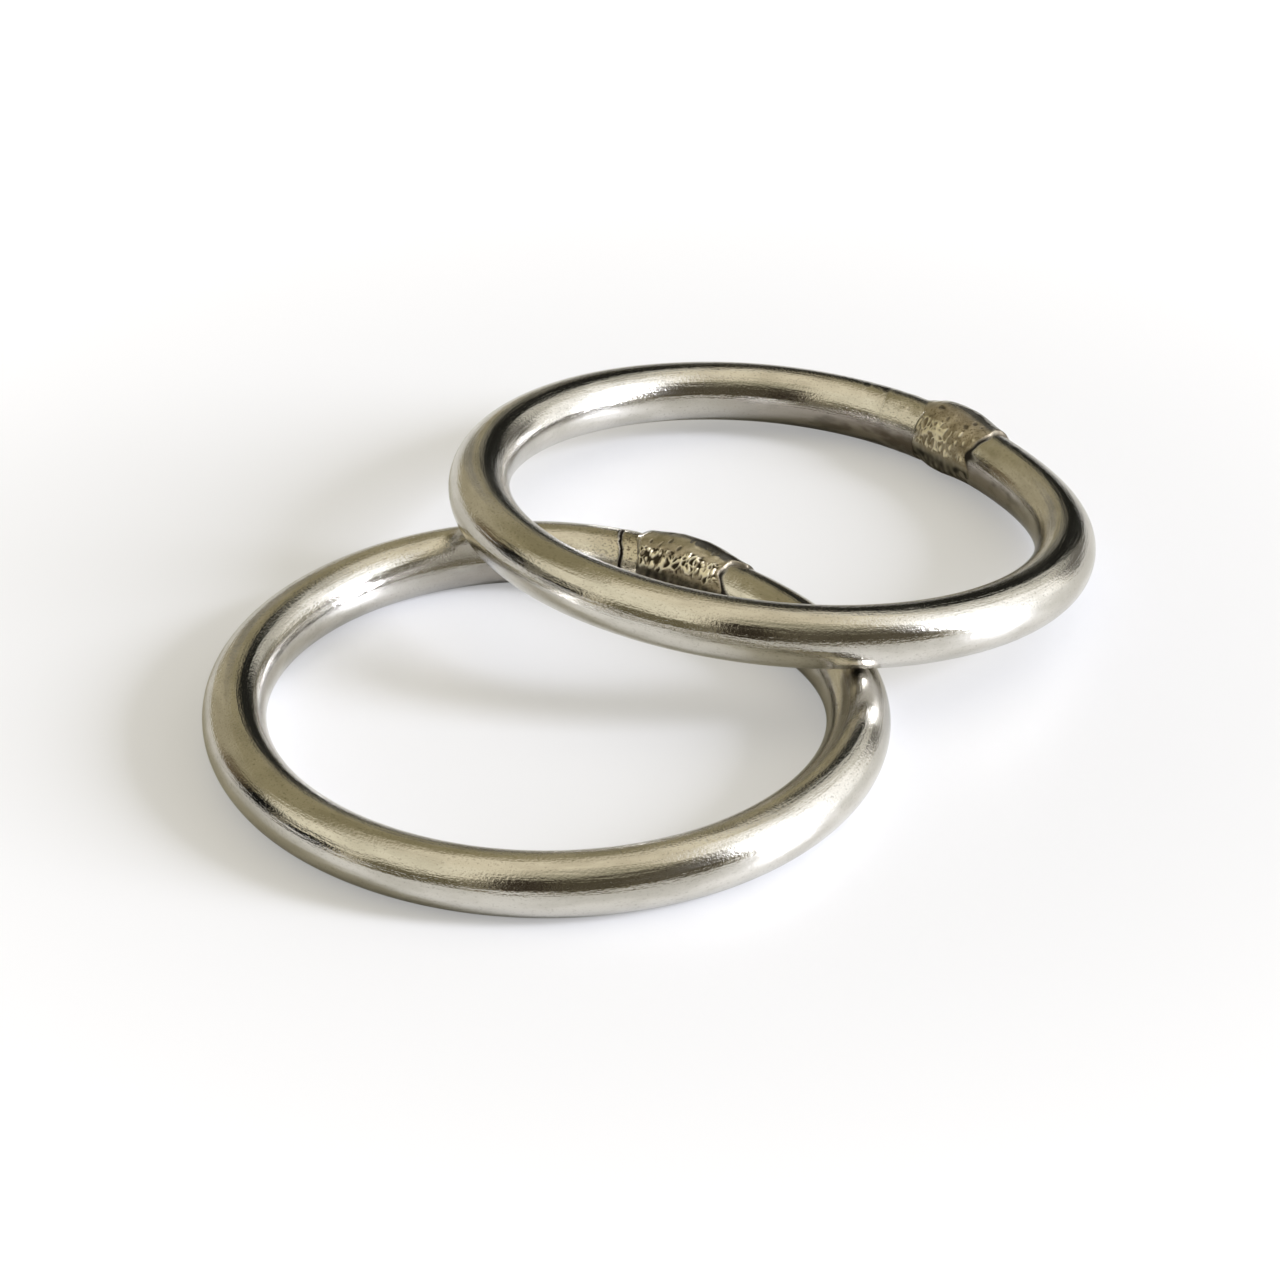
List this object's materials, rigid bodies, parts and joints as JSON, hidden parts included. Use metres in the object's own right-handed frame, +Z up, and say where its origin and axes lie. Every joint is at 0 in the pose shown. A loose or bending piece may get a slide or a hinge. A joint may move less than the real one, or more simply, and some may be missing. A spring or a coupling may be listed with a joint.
{
  "type": "pair of welded round rings",
  "caption": "Closed round rings of bent steel bar, each joined by a weld; one lies flat and the other leans on it. Loops for straps, cords, hooks and keys.",
  "frame": {"origin": "middle of the pair's footprint, on the surface it lies on", "axes": "+Z up, +Y away from the viewer, from the flat ring towards the leaning ring, +X to the viewer's right"},
  "size_m": [0.0568, 0.0636, 0.0091],
  "materials": {
    "polished_bar": "drawn and barrel-polished, soft mirror with fine scratches",
    "weld_metal": "as welded, crumbly bead, matt tan-brown heat tint"
  },
  "bodies": {
    "lower_ring": {"lower_ring_bar": "polished_bar", "lower_ring_weld": "weld_metal"},
    "upper_ring": {"upper_ring_bar": "polished_bar", "upper_ring_weld": "weld_metal"}
  },
  "joints": [
    {"name": "upper_ring_lift", "type": "slide", "parent": "lower_ring", "child": "upper_ring", "axis": [0, 0, 1], "range_m": [0, 0.03]}
  ]
}
